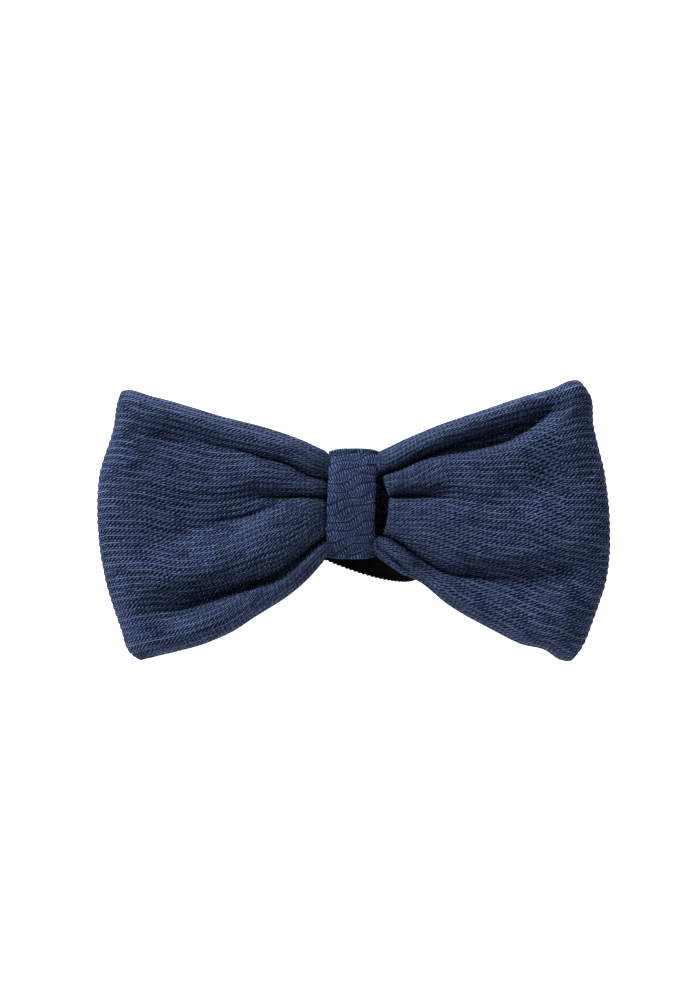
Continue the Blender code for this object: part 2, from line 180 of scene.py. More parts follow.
# Each crease is keyed by (distance from the middle, height, share of the depth, width above, width below,
# half width of its open bottom, softness).
CREASES = {
    "left": {
        "under_top_roll": (
            (0.0, 4.6, 0.60, 2.2, 1.8, 0.0, 0.0),
            (5.6, 5.2, 0.72, 2.6, 1.8, 0.0, 0.0),
            (9.4, 6.0, 0.66, 3.4, 2.2, 0.0, 0.1),
            (15.0, 8.8, 0.56, 4.0, 2.6, 0.0, 0.2),
            (20.0, 10.2, 0.58, 4.6, 4.6, 0.0, 0.3),
            (25.0, 11.8, 0.54, 5.0, 7.0, 0.15, 0.4),
            (31.0, 12.8, 0.46, 5.8, 10.0, 0.2, 0.6),
            (36.0, 13.6, 0.43, 6.0, 12.0, 0.2, 0.7),
            (41.0, 13.9, 0.42, 6.0, 12.0, 0.2, 0.8),
            (45.0, 14.2, 0.32, 5.6, 10.0, 0.2, 0.9),
            (51.0, 15.2, 0.00, 5.0, 8.0, 0.2, 1.0),
        ),
        "middle": (
            (0.0, 1.2, 0.60, 1.8, 1.6, 0.0, 0.0),
            (5.6, 1.3, 0.78, 2.2, 1.8, 0.0, 0.0),
            (12.0, 1.5, 0.66, 2.6, 2.0, 0.0, 0.0),
            (17.0, 1.5, 0.50, 3.0, 2.4, 0.0, 0.1),
            (22.0, 1.2, 0.26, 3.4, 3.0, 0.0, 0.4),
            (29.0, 1.0, 0.00, 4.0, 4.0, 0.0, 1.0),
        ),
        "valley": (
            (9.0, 1.4, 0.00, 7.0, 3.0, 0.0, 1.0),
            (14.0, 0.8, 0.24, 8.0, 4.0, 0.0, 1.0),
            (18.0, -0.8, 0.52, 10.0, 5.0, 0.0, 0.7),
            (22.0, -2.4, 0.74, 15.0, 6.4, 0.0, 0.6),
            (26.0, -3.6, 0.78, 21.0, 7.6, 0.0, 0.65),
            (31.0, -4.6, 0.72, 25.0, 8.6, 0.0, 0.8),
            (37.0, -5.8, 0.60, 26.0, 9.4, 0.0, 0.9),
            (42.0, -6.6, 0.44, 26.0, 9.6, 0.0, 1.0),
            (47.0, -7.2, 0.26, 24.0, 9.6, 0.0, 1.0),
            (53.0, -7.4, 0.00, 20.0, 9.6, 0.0, 1.0),
        ),
        "over_bottom_roll": (
            (0.0, -6.4, 0.60, 2.2, 1.8, 0.0, 0.0),
            (5.6, -7.4, 0.82, 3.4, 2.0, 0.1, 0.0),
            (9.4, -10.2, 0.86, 4.6, 2.4, 0.2, 0.05),
            (12.3, -12.8, 0.86, 5.4, 2.8, 0.35, 0.1),
            (16.4, -15.8, 0.84, 6.0, 3.2, 0.5, 0.1),
            (21.0, -17.6, 0.84, 6.4, 3.6, 0.6, 0.15),
            (26.0, -19.2, 0.80, 6.8, 4.0, 0.5, 0.3),
            (31.0, -20.8, 0.76, 7.0, 4.4, 0.4, 0.4),
            (38.0, -22.8, 0.66, 7.4, 5.0, 0.4, 0.6),
            (43.0, -23.8, 0.40, 7.4, 5.4, 0.3, 0.9),
            (50.0, -24.6, 0.00, 7.0, 5.4, 0.3, 1.0),
        ),
    },
    "right": {
        "under_top_roll": (
            (0.0, 5.0, 0.60, 2.0, 1.8, 0.0, 0.0),
            (5.8, 6.0, 0.80, 2.8, 1.8, 0.0, 0.0),
            (9.4, 7.2, 0.80, 3.2, 2.0, 0.1, 0.0),
            (14.3, 9.4, 0.78, 4.0, 2.2, 0.2, 0.1),
            (19.5, 11.2, 0.86, 4.6, 2.4, 0.5, 0.1),
            (24.6, 12.5, 0.92, 5.4, 2.8, 1.0, 0.15),
            (29.8, 13.8, 0.93, 6.0, 3.0, 1.4, 0.2),
            (34.9, 15.3, 0.92, 6.6, 3.2, 1.4, 0.25),
            (39.2, 17.5, 0.86, 6.8, 3.6, 1.0, 0.3),
            (43.2, 19.7, 0.60, 6.4, 3.8, 0.6, 0.5),
            (49.0, 21.6, 0.00, 5.0, 3.6, 0.0, 1.0),
        ),
        "middle": (
            (0.0, 1.0, 0.60, 1.8, 1.6, 0.0, 0.0),
            (6.2, 1.2, 0.82, 2.2, 2.0, 0.1, 0.0),
            (12.3, 1.8, 0.70, 2.8, 3.0, 0.2, 0.2),
            (16.6, 1.7, 0.52, 3.4, 3.8, 0.2, 0.4),
            (21.3, 1.2, 0.32, 4.0, 4.4, 0.1, 0.7),
            (28.0, 0.2, 0.12, 4.0, 5.0, 0.0, 1.0),
            (35.0, -1.0, 0.00, 4.0, 5.0, 0.0, 1.0),
        ),
        "far_dip": (
            (28.0, 1.6, 0.00, 7.0, 6.0, 0.0, 1.0),
            (36.0, 1.8, 0.20, 9.0, 7.0, 0.0, 1.0),
            (45.0, 4.4, 0.26, 9.0, 7.0, 0.0, 1.0),
            (54.0, 5.0, 0.10, 9.0, 7.0, 0.0, 1.0),
        ),
        "over_bottom_roll": (
            (0.0, -6.4, 0.60, 2.2, 1.8, 0.0, 0.0),
            (5.8, -6.6, 0.76, 2.6, 2.2, 0.0, 0.0),
            (8.0, -7.4, 0.80, 3.0, 2.4, 0.0, 0.0),
            (11.4, -9.4, 0.78, 4.0, 2.6, 0.1, 0.1),
            (15.7, -12.6, 0.74, 5.0, 3.2, 0.2, 0.2),
            (21.3, -15.4, 0.66, 5.2, 5.0, 0.2, 0.4),
            (27.3, -16.1, 0.58, 5.0, 8.0, 0.2, 0.6),
            (33.8, -16.3, 0.54, 5.4, 11.0, 0.1, 0.8),
            (40.0, -16.0, 0.48, 6.0, 13.0, 0.0, 1.0),
            (47.0, -15.4, 0.42, 6.6, 14.0, 0.0, 1.0),
            (53.0, -15.0, 0.26, 6.6, 13.0, 0.0, 1.0),
            (58.5, -15.0, 0.00, 6.6, 12.0, 0.0, 1.0),
        ),
        "knot_flap": (
            (5.6, -9.6, 0.20, 1.2, 1.2, 0.0, 0.2),
            (8.5, -11.6, 0.44, 1.4, 1.2, 0.0, 0.1),
            (12.0, -14.4, 0.30, 1.6, 1.4, 0.0, 0.4),
            (17.0, -18.2, 0.16, 2.0, 1.8, 0.0, 0.8),
            (24.0, -22.6, 0.00, 2.0, 2.0, 0.0, 1.0),
        ),
    },
    "back": {
        "upper": (
            (0.0, 5.2, 0.60, 2.2, 1.8, 0.0, 0.0),
            (6.0, 5.8, 0.76, 2.6, 2.2, 0.0, 0.0),
            (12.0, 7.6, 0.72, 3.6, 2.6, 0.1, 0.1),
            (20.0, 10.2, 0.62, 4.6, 3.4, 0.2, 0.2),
            (29.0, 12.4, 0.44, 5.4, 4.4, 0.2, 0.5),
            (39.0, 14.4, 0.20, 5.6, 5.0, 0.2, 1.0),
            (47.0, 15.6, 0.00, 5.6, 5.0, 0.2, 1.0),
        ),
        "middle": (
            (0.0, -0.6, 0.60, 2.0, 2.0, 0.0, 0.0),
            (6.0, -0.8, 0.78, 2.4, 2.4, 0.0, 0.0),
            (13.0, -1.6, 0.68, 3.2, 3.4, 0.0, 0.1),
            (21.0, -3.2, 0.50, 4.6, 4.8, 0.0, 0.5),
            (31.0, -5.4, 0.30, 7.0, 7.0, 0.0, 1.0),
            (42.0, -7.0, 0.00, 8.0, 8.0, 0.0, 1.0),
        ),
        "lower": (
            (0.0, -6.4, 0.60, 2.2, 1.8, 0.0, 0.0),
            (6.0, -7.4, 0.78, 2.6, 2.0, 0.0, 0.0),
            (11.0, -10.6, 0.76, 3.8, 2.8, 0.1, 0.1),
            (18.0, -14.8, 0.66, 5.0, 3.8, 0.2, 0.2),
            (27.0, -18.4, 0.48, 5.8, 4.6, 0.2, 0.5),
            (37.0, -21.2, 0.24, 6.0, 5.4, 0.2, 1.0),
            (46.0, -22.6, 0.00, 6.0, 5.4, 0.2, 1.0),
        ),
    },
}
# Beside the knot on the right the fabric dives behind the band, in a hollow that is round on its outer side.
PIT_REACH = 3.0
PIT_MIDDLE_Z = -0.4
PIT_HALF = 7.0
PIT_DEPTH = 1.8
PIT_WALL = 1.3  # width of the outer slope
PIT_TIP = 1.2  # the hollow fades out where it reaches less far than this
PIT_START_X = 3.6
PIT_START_OVER = 1.5
CREASE_LIMIT = 0.93  # no crease takes more of the depth than this
EDGE_FOLD = 9.0  # how far the wing's outer fold reaches in from its edge
# Near the knot the rolled top and bottom edges reach in by a share of the depth, further out by a set width.
EDGE_NEAR_SHARE = 0.85
EDGE_FAR_WIDTH = 3.0
EDGE_CHANGE_X = 24
EDGE_CHANGE_OVER = 18
EDGE_LIMIT = 0.3  # neither edge reaches in by more than this share of the height
EDGE_GAIN = 0.25  # the rolled edges sit this much further out than the outline
# (distance from the middle plane, depth of the cleft that parts front from back at the top and the bottom)
CLEFT = ((0.0, 0.0), (6.0, 0.6), (12.0, 2.0), (25.0, 3.0), (42.0, 2.4), (50.0, 0.8), (53.0, 0.0))
CLEFT_HALF_WIDTH = 1.5
CLEFT_REACH = 4.0  # the fabric beside it is drawn in over this much of the height
CROWN = 0.14  # the depth lost towards the top edge
# Slow swells of the fabric: (share of the whole, waves outwards, waves upwards, turns of the phase)
SWELLS = ((0.5, 0.21, 0.13, 1.0), (0.3, 0.12, -0.31, 2.1), (0.2, 0.41, 0.23, 3.7))
SWELL_SHARE = 0.06
SWELL_FROM_X = 9
SWELL_OVER = 8
SWELL_PHASES = {"left": 0.7, "right": 2.3}
BACK_PHASE = 1.6
# (distance from the middle plane, how far the knot squeezes the height)
SQUEEZE = ((0.0, 0.80), (1.6, 0.81), (3.0, 0.87), (4.8, 0.92), (6.0, 0.985), (8.0, 1.0))
STATION_STEP = 0.46
FOLD_STATIONS = 26
PROBE_STATION = 20  # the station where the normals' direction is tested
SIDE_ROWS = 262
FABRIC_HEIGHT = 64.0  # the knit's own height, which the knot gathers
DENSE_ROWS = 1500

# The camera's picture is this tall at the wings' middle plane, in metres.
VIEW_HEIGHT = 0.224


def hermite(keys, values, at):
    """A smooth curve through the values at the keys, level beyond both ends."""
    keys, values, at = np.asarray(keys, float), np.asarray(values, float), np.asarray(at, float)
    slopes = np.gradient(values, keys)
    i = np.clip(np.searchsorted(keys, at) - 1, 0, len(keys) - 2)
    gap = keys[i + 1] - keys[i]
    t = np.clip((at - keys[i]) / gap, 0, 1)
    start = (2 * t**3 - 3 * t**2 + 1) * values[i] + (t**3 - 2 * t**2 + t) * gap * slopes[i]
    return start + (3 * t**2 - 2 * t**3) * values[i + 1] + (t**3 - t**2) * gap * slopes[i + 1]


def travelled(points):
    """The distance along a line of points, at each of them."""
    return np.concatenate([[0], np.cumsum(np.linalg.norm(np.diff(points, axis=0), axis=1))])


def curve_at(points, share):
    """Both coordinates of the smooth curve through the points, at a share of its chord length."""
    points = np.asarray(points, float)
    along = travelled(points)
    at = np.asarray(share) * along[-1]
    return np.stack([hermite(along, points[:, k], at) for k in (0, 1)], axis=-1)


def ease(t):
    """A smooth step from 0 to 1."""
    t = np.clip(t, 0, 1)
    return t * t * (3 - 2 * t)


def mix(a, b, t):
    return a + (b - a) * t


def unit(vectors):
    """The same vectors, one unit long."""
    return vectors / np.maximum(np.linalg.norm(vectors, axis=-1, keepdims=True), 1e-9)


def on_fabric(along, across, lift):
    """Places on a fabric, from three arrays that spread over one grid."""
    return np.stack(np.broadcast_arrays(along, across, lift), axis=-1)


def wing_patch(outline, s, r):
    """(distance from the middle, height) on the wing's middle sheet, for stations s and dense shares r."""
    bottom = curve_at(outline["bottom"], s)[:, None]
    top = curve_at(outline["top"], s)[:, None]
    outer = curve_at(outline["outer"], r)[None]
    s, r = s[:, None, None], r[None, :, None]
    neck = mix(np.array(outline["bottom"][0]), np.array(outline["top"][0]), r)
    far = mix(np.array(outline["bottom"][-1]), np.array(outline["top"][-1]), r)
    place = mix(bottom, top, r) + mix(neck, outer, s) - mix(neck, far, s)
    # Both outer corners are rounded off.
    s, r = s[..., 0], r[..., 0]
    inset = np.clip(1 - (1 - s) * WING_LENGTH / CORNER_RADIUS, 0, 1)
    drop = CORNER_RADIUS * (1 - np.sqrt(1 - inset**2))
    place[..., 1] += drop * (ease(1 - r * CORNER_FADE) - ease(1 - (1 - r) * CORNER_FADE))
    return place


def crease_share(keys, x, z):
    """The share of the wing's depth that one crease takes at each point."""
    keys = np.array(keys)
    columns = (hermite(keys[:, 0], keys[:, k], x) for k in range(1, 7))
    height, depth, above, below, opening, softness = columns
    depth = np.where((x < keys[0, 0] - 0.01) | (x > keys[-1, 0]), 0, np.clip(depth, 0, 1))
    width = np.where(z > height, above, below)
    q = np.clip((np.abs(z - height) - np.clip(opening, 0, None)) / width, 0, 1)
    sharp = 1 - np.sqrt(1 - (1 - q) ** 2)
    soft = 0.5 + 0.5 * np.cos(math.pi * q)
    return depth * mix(sharp, soft, np.clip(softness, 0, 1))


def pit_dive(x, z):
    """How far down the hollow beside the knot each point lies, from 0 to 1."""
    reach = PIT_REACH * np.sqrt(np.clip(1 - ((z - PIT_MIDDLE_Z) / PIT_HALF) ** 2, 0, 1))
    wall = ease((INNER_X + reach - x) / PIT_WALL)
    return wall * ease(reach / PIT_TIP) * ease((x - PIT_START_X) / PIT_START_OVER)


def unevenness(x, z, phase):
    """Slow swells in the fabric, from about -1 to 1."""
    return sum(share * np.sin(out * x + up * z + turns * phase) for share, out, up, turns in SWELLS)


def wing_stations():
    """Shares along the wing, negative in the knot, and how much depth the outer fold leaves at each."""
    inside = np.arange(-INNER_X, -0.01, STATION_STEP) / WING_LENGTH
    fold_from = 1 - EDGE_FOLD / WING_LENGTH
    flat = np.linspace(0, fold_from, int(WING_LENGTH * fold_from / STATION_STEP))
    angle = np.linspace(0, math.pi / 2, FOLD_STATIONS + 1)[1:]
    s = np.concatenate([inside, flat, fold_from + (1 - fold_from) * np.sin(angle)])
    left = np.concatenate([np.ones(len(inside) + len(flat)), np.cos(angle)])
    return s, left


def evenly_spaced(curve, r, fold):
    """Curves (station, dense share, xyz) as rows spaced evenly along the fabric."""
    steps = np.linalg.norm(np.diff(curve, axis=1), axis=2)
    along = np.concatenate([np.zeros((len(curve), 1)), np.cumsum(steps, axis=1)], axis=1)
    rows = np.linspace(0, 1, SIDE_ROWS)
    even = np.empty((len(curve), SIDE_ROWS, 3))
    for k in range(len(curve)):
        # Through the outer fold the rows keep the shares that they have where it starts.
        if fold[k] == 1:
            shares = np.interp(rows * along[k, -1], along[k], r)
        for axis in range(3):
            even[k, :, axis] = np.interp(shares, r, curve[k, :, axis])
    return even


def wing_side(side, facing, s, fold):
    """The front (-1) or back (1) of a wing as points (station, row, xyz), with its rows evenly spaced."""
    in_front = facing < 0
    r = 0.5 - 0.5 * np.cos(math.pi * np.linspace(0, 1, DENSE_ROWS))
    place = wing_patch(OUTLINES[side], np.maximum(s, 0), r)
    x, z = place[..., 0], place[..., 1]
    x = x + np.minimum(s, 0)[:, None] * WING_LENGTH
    tall = z[:, -1:] - z[:, :1]
    low_gap, high_gap = r[None] * tall, (1 - r)[None] * tall
    hull = hermite(*zip(*HULL), x)
    rolled = mix(hull * EDGE_NEAR_SHARE, EDGE_FAR_WIDTH, ease((x - EDGE_CHANGE_X) / EDGE_CHANGE_OVER))
    edge_width = np.minimum(rolled, tall * EDGE_LIMIT)
    edge = np.sqrt(1 - (1 - np.clip(np.minimum(low_gap, high_gap) / edge_width, 0, 1)) ** 2)
    crown = 1 - CROWN * np.clip(2 * r[None] - 1, 0, 1) ** 2
    kept = np.ones_like(x)
    for keys in CREASES[side if in_front else "back"].values():
        kept = kept * (1 - crease_share(keys, x, z))
    dive = pit_dive(x, z) if side == "right" and in_front else 0
    kept = np.maximum(kept, 1 - CREASE_LIMIT) * (1 - dive)
    phase = SWELL_PHASES[side] + (0 if in_front else BACK_PHASE)
    swell = 1 + SWELL_SHARE * unevenness(x, z, phase) * ease((x - SWELL_FROM_X) / SWELL_OVER)
    y = hull * edge * crown * kept * swell * fold[:, None] - PIT_DEPTH * dive
    cleft = hermite(*zip(*CLEFT), x) * fold[:, None]
    lip = 0.5 + 0.5 * np.cos(math.pi * np.clip(y / CLEFT_HALF_WIDTH, 0, 1))
    z = z + cleft * lip * ((1 - ease(low_gap / CLEFT_REACH)) - (1 - ease(high_gap / CLEFT_REACH)))
    z = z * hermite(*zip(*SQUEEZE), x) + EDGE_GAIN * (2 * r[None] - 1)
    return evenly_spaced(np.stack([x, facing * y, z], axis=-1), r, fold)


def wing_rings(side):
    """A wing's closed rings (station, point, xyz), up its front and down its back, with no knit yet."""
    s, fold = wing_stations()
    front, back = wing_side(side, -1, s, fold), wing_side(side, 1, s, fold)
    # The two sides meet in one line along the top, the bottom and the outer fold.
    for edge in (0, -1):
        front[:, edge] = back[:, edge] = (front[:, edge] + back[:, edge]) / 2
    front[-1] = back[-1] = (front[-1] + back[-1]) / 2
    return np.concatenate([front, back[:, -2:0:-1]], axis=1)


def ribbed(rings, along, across):
    """The rings with the knit's ribs raised on them."""
    round_it = np.roll(rings, -1, axis=1) - np.roll(rings, 1, axis=1)
    normals = unit(np.cross(np.gradient(rings, axis=0), round_it))
    outwards = rings - rings.mean(axis=1, keepdims=True)
    if np.sum(normals[PROBE_STATION] * outwards[PROBE_STATION]) < 0:
        normals = -normals
    normals[-1] = (1, 0, 0)
    relief = 0.5 + 0.5 * np.cos(2 * math.pi * across / RIB_PITCH)
    wander = 1 - RIB_WANDER + RIB_WANDER * np.sin(0.9 * across[None] + 0.23 * along[:, None])
    return rings + normals * (RIB_HEIGHT * (relief[None] * wander - 0.5))[..., None]


def mesh_object(name, points, faces, knit, domain="POINT"):
    """A smooth mesh from points in millimetres. Each point or face corner keeps its place on the fabric."""
    mesh = bpy.data.meshes.new(name)
    mesh.from_pydata((points * MM).tolist(), [], faces)
    attribute = mesh.attributes.new("knit_mm", "FLOAT_VECTOR", domain)
    attribute.data.foreach_set("vector", np.ascontiguousarray(knit, np.float32).ravel())
    mesh.shade_smooth()
    mesh.update()
    obj = bpy.data.objects.new(name, mesh)
    bpy.context.scene.collection.objects.link(obj)
    return obj


def ring_faces(rings, size, flip=False):
    """Quads between closed rings of the same size, numbered ring after ring."""
    ring, k = np.meshgrid(np.arange(rings - 1), np.arange(size), indexing="ij")
    n = (k + 1) % size
    here, ahead = ring * size, (ring + 1) * size
    quads = np.stack([here + k, here + n, ahead + n, ahead + k], axis=-1).reshape(-1, 4)
    return (quads[:, ::-1] if flip else quads).tolist()


def wing_faces(stations, size, flip):
    """A wing's faces and which are on its back. The back rows of the last ring are its front rows."""
    last, tip = (stations - 2) * size, (stations - 1) * size
    closing = []
    for k in range(size):
        n = (k + 1) % size
        at_k, at_n = (tip + (j if j < SIDE_ROWS else size - j) for j in (k, n))
        closing.append([last + k, last + n, at_n, at_k])
    # The end in the knot is closed from front to back, with a triangle at its top and its bottom.
    for k in range(SIDE_ROWS - 1):
        quad = [k, (size - k) % size, size - k - 1, k + 1]
        closing.append([v for i, v in enumerate(quad) if v not in quad[:i]])
    faces = ring_faces(stations - 1, size, flip)
    faces += [face[::-1] for face in closing] if flip else closing
    on_back = np.zeros(len(faces), bool)
    skin = (stations - 1) * size
    on_back[:skin] = np.arange(skin) % size >= SIDE_ROWS - 1
    return faces, on_back


def make_wing(side):
    """A wing's knit skin, from the middle of the knot out to its fold and back."""
    sign = -1 if side == "left" else 1
    rings = wing_rings(side)
    stations, size = rings.shape[:2]
    steps = np.linalg.norm(np.diff(rings[..., :2], axis=0), axis=2).mean(axis=1)
    along = np.concatenate([[0], np.cumsum(steps)])
    rows = np.linspace(0, FABRIC_HEIGHT, SIDE_ROWS)
    across = np.concatenate([rows, rows[-2:0:-1]])
    rings = ribbed(rings, along, across)
    rings[..., 0] *= sign
    rings[..., 1] += MIDDLE_Y
    points = np.concatenate([rings[:-1].reshape(-1, 3), rings[-1, :SIDE_ROWS]])
    knit = on_fabric(sign * along[:, None], across[None], 0.0)
    knit = np.concatenate([knit[:-1].reshape(-1, 3), knit[-1, :SIDE_ROWS]])
    faces, on_back = wing_faces(stations, size, flip=sign < 0)
    # The knit runs on round the outer fold, so on the back the distance along it keeps growing.
    on_back = np.repeat(on_back, [len(face) for face in faces])
    knit = knit[np.concatenate(faces)]
    knit[on_back, 0] = 2 * sign * along[-1] - knit[on_back, 0]
    return mesh_object(f"{side}_wing_knit", points, faces, knit, domain="CORNER")


def arc(centre, radius, start, end, steps=10):
    """Points of an arc, from one angle to another in degrees."""
    angles = np.radians(np.linspace(start, end, steps + 1))
    return [(centre[0] + radius * math.cos(a), centre[1] + radius * math.sin(a)) for a in angles]


def spaced(points, step):
    """The route resampled evenly, with the distance along it."""
    points = np.asarray(points, float)
    keep = np.concatenate([[True], np.linalg.norm(np.diff(points, axis=0), axis=1) > 1e-6])
    points = points[keep]
    along = travelled(points)
    at = np.linspace(0, along[-1], max(4, int(along[-1] / step)) + 1)
    return np.stack([np.interp(at, along, points[:, k]) for k in range(points.shape[1])], axis=1), at


def smoothed(points, passes):
    """The points, each drawn towards its neighbours on every pass, with both ends kept."""
    for _ in range(passes):
        points[1:-1] = points[1:-1] * 0.5 + (points[:-2] + points[2:]) * 0.25
    return points


def capped(name, rings, knit, flip=False):
    """A closed mesh through rings (station, ring, xyz), with its ends filled in and kept crisp."""
    count, size = rings.shape[:2]
    faces = ring_faces(count, size, flip)
    first, last = list(range(size)), [(count - 1) * size + k for k in range(size)]
    half = size // 2
    for ring, turned in ((first, not flip), (last, flip)):
        for k in range(half - 1):
            quad = [ring[k], ring[k + 1], ring[size - k - 2], ring[size - k - 1]]
            faces.append(quad[::-1] if turned else quad)
    obj = mesh_object(name, rings.reshape(-1, 3), faces, knit.reshape(-1, 3))
    obj.data.set_sharp_from_angle(angle=math.radians(75))
    return obj


def strip_section(width, thick, face_rows, edge_rows):
    """A flat strip's section with round edges, as (across, out) from the left, over its top and back."""
    half, radius = width / 2, thick / 2
    run = half - radius
    over = [(x, radius) for x in np.linspace(-run, run, face_rows)]
    under = [(x, -radius) for x in np.linspace(run, -run, max(4, face_rows // 4))]
    right = [(run + x, y) for x, y in arc((0, 0), radius, 90, -90, edge_rows)[1:-1]]
    left = [(-run + x, y) for x, y in arc((0, 0), radius, 270, 90, edge_rows)[1:-1]]
    return np.array(over + right + under + left)


def band_route():
    """The band's middle line in (y, z): down from its hidden start, up the front and down over its start."""
    inset = STRIP_THICK / 2
    corner = BAND_CORNER - inset
    back, front = BAND_HIGH[1] - LAP_STEP - inset, BAND_LOW[1] + inset
    half = BAND_HIGH[2] - inset
    lap = BAND_HIGH[1] - inset + LAP_PROUD
    route = [(back, HIDDEN_START_Z), (back, 0.0)]
    route += arc((back - corner, -half + corner), corner, 0, -90)
    route += arc((front + corner, -half + corner), corner, -90, -180)
    route += arc((front + corner, half - corner), corner, 180, 90)
    route += arc((back - corner, half - corner), corner, 90, 12)
    route += [(lap, LAP_START_Z), (lap, LAP_EDGE_Z)]
    route = smoothed(spaced(route, BAND_STEP)[0], BAND_SMOOTHING)
    ahead = ease(1 - (route[:, 0] - front) / corner)
    route[:, 0] += ahead * (BAND_BULGE * (route[:, 1] / half) ** 2 - BAND_FORWARD)
    return route


def band_ribs(across, along):
    """The number of ribs before each point of the strip. The ribs climb to the right and sway."""
    across, along = across[None], along[:, None]
    rise = BAND_RIB_RISE * (ease(across / STRIP_WIDTH + 0.5) - 0.5)
    sway = 0.4 * np.sin(0.5 * across + 0.8 * along) + 0.2 * np.sin(1.1 * across - 0.5 * along)
    return (along - rise + sway) / BAND_RIB_PITCH


def make_band():
    """The wrapped strip and its length. Its ribs run across it, and its end laps over its start."""
    route = band_route()
    step = unit(np.gradient(route, axis=0))
    out = np.stack([step[:, 1], -step[:, 0]], axis=1)
    middle = np.array([(BAND_LOW[1] + BAND_HIGH[1]) / 2, 0])
    out *= np.sign(np.sum(out * (route - middle), axis=1, keepdims=True))
    along = travelled(route)
    across, lift = strip_section(STRIP_WIDTH, STRIP_THICK, face_rows=56, edge_rows=8).T
    share = across[None] / (STRIP_WIDTH / 2)
    rib = band_ribs(across, along)
    off = np.abs(rib - np.round(rib))
    patchy = np.clip(0.45 + 0.55 * np.sin(0.7 * across[None] + 1.7 * np.round(rib) ** 2), 0, 1)
    groove = np.exp(-((off / BAND_GROOVE) ** 2)) * patchy
    relief = BAND_RIB_HEIGHT * np.cos(2 * math.pi * off) - BAND_RIB_DEPTH * groove
    relief = relief - BAND_EDGE_DROP * share**4
    height = lift[None] + relief * ease(lift / STRIP_THICK + 0.5)[None]
    wide = 1 + 0.012 * np.sin(1.4 * along) + 0.008 * np.sin(3.1 * along + 1)
    rings = np.empty((len(route), len(across), 3))
    rings[..., 0] = across[None] * wide[:, None]
    rings[..., 1] = route[:, None, 0] + out[:, None, 0] * height
    rings[..., 2] = route[:, None, 1] + out[:, None, 1] * height
    rings[..., 0] += math.tan(BAND_LEAN) * rings[..., 2]
    drawn_in = np.clip(1 - (rings[..., 2] / BAND_HIGH[2]) ** 2, 0, 1) * np.clip(share, 0, 1)
    rings[..., 0] -= BAND_DRAWN_IN * drawn_in
    knit = on_fabric(across[None], rib * BAND_RIB_PITCH, lift[None])
    return capped("band_knit", rings, knit, flip=True), along[-1] * MM


def elastic_route():
    """The elastic's middle line from its left end in the knot, round the loop, to its right end."""
    bend = arc((ELASTIC_BEND_X, CHANNEL_Y + ELASTIC_BEND), ELASTIC_BEND, -90, 0)
    left = [(LAPPED_END_X, CHANNEL_Y)] + [(-x, y) for x, y in bend]
    right = [(-LAPPED_END_X, FRONT_LAYER_Y), (3.4, FRONT_LAYER_Y), (4.6, CHANNEL_Y - 0.4)] + bend
    half = [(ELASTIC_BEND_X + ELASTIC_BEND, LOOP_HINGE_Y)] + list(LOOP_HALF)
    loop = curve_at([(-x, y) for x, y in half] + half[-2::-1], np.linspace(0, 1, LOOP_STEPS))
    flat, along = spaced(np.concatenate([left, loop, right[::-1]]), ELASTIC_STEP)
    x, y = smoothed(flat, ELASTIC_SMOOTHING).T
    depth = np.maximum(y - PITCH_FROM_Y, 0)
    fall = LOOP_PITCH * depth**2 / (depth + PITCH_EASE)
    lean = LOOP_ROLL * ease((y - ROLL_FROM_Y) / ROLL_OVER) * x
    return np.stack([x, y, -fall - lean], axis=1), along


def groove_among(stations, ribs):
    """The one of the stations that is nearest the middle of a groove between two ribs."""
    return stations[np.argmin(np.abs((ribs[stations] % 1) - 0.5))]


def make_elastic():
    """The elastic's strap in three pieces: the two that bend beside the knot and the loop that stretches."""
    route, along = elastic_route()
    step = unit(np.gradient(route, axis=0))
    up = np.array([0, 0, 1.0])
    width = unit(up - step * (step @ up)[:, None])
    out = np.cross(step, width)
    across, lift = strip_section(ELASTIC_WIDTH, ELASTIC_THICK, face_rows=28, edge_rows=6).T
    ribs = along / ELASTIC_RIB_PITCH
    ridge = 0.5 + 0.5 * np.cos(2 * math.pi * ribs)
    wale = 0.5 + 0.5 * np.cos(2 * math.pi * across / ELASTIC_WALE)
    swell = 1 + ELASTIC_RIB_HEIGHT * (ridge[:, None] ** 0.7 - 0.6) * (0.75 + 0.25 * wale[None])
    scallop = 1 - ELASTIC_SCALLOP * (1 - ridge)
    rings = route[:, None] + width[:, None] * (across[None] * scallop[:, None])[..., None]
    rings = rings + out[:, None] * (lift[None] * swell * ELASTIC_SWELL)[..., None]
    knit = on_fabric(along[:, None], across[None], lift[None])
    behind = np.nonzero(route[:, 1] > LOOP_CUT_Y)[0]
    first, last = groove_among(behind[:CUT_SEARCH], ribs), groove_among(behind[-CUT_SEARCH:], ribs)
    spans = {
        "elastic_left_end": (0, first),
        "elastic_loop": (first, last),
        "elastic_right_end": (last, len(route) - 1),
    }
    return {name: capped(name, rings[a:b + 1], knit[a:b + 1]) for name, (a, b) in spans.items()}


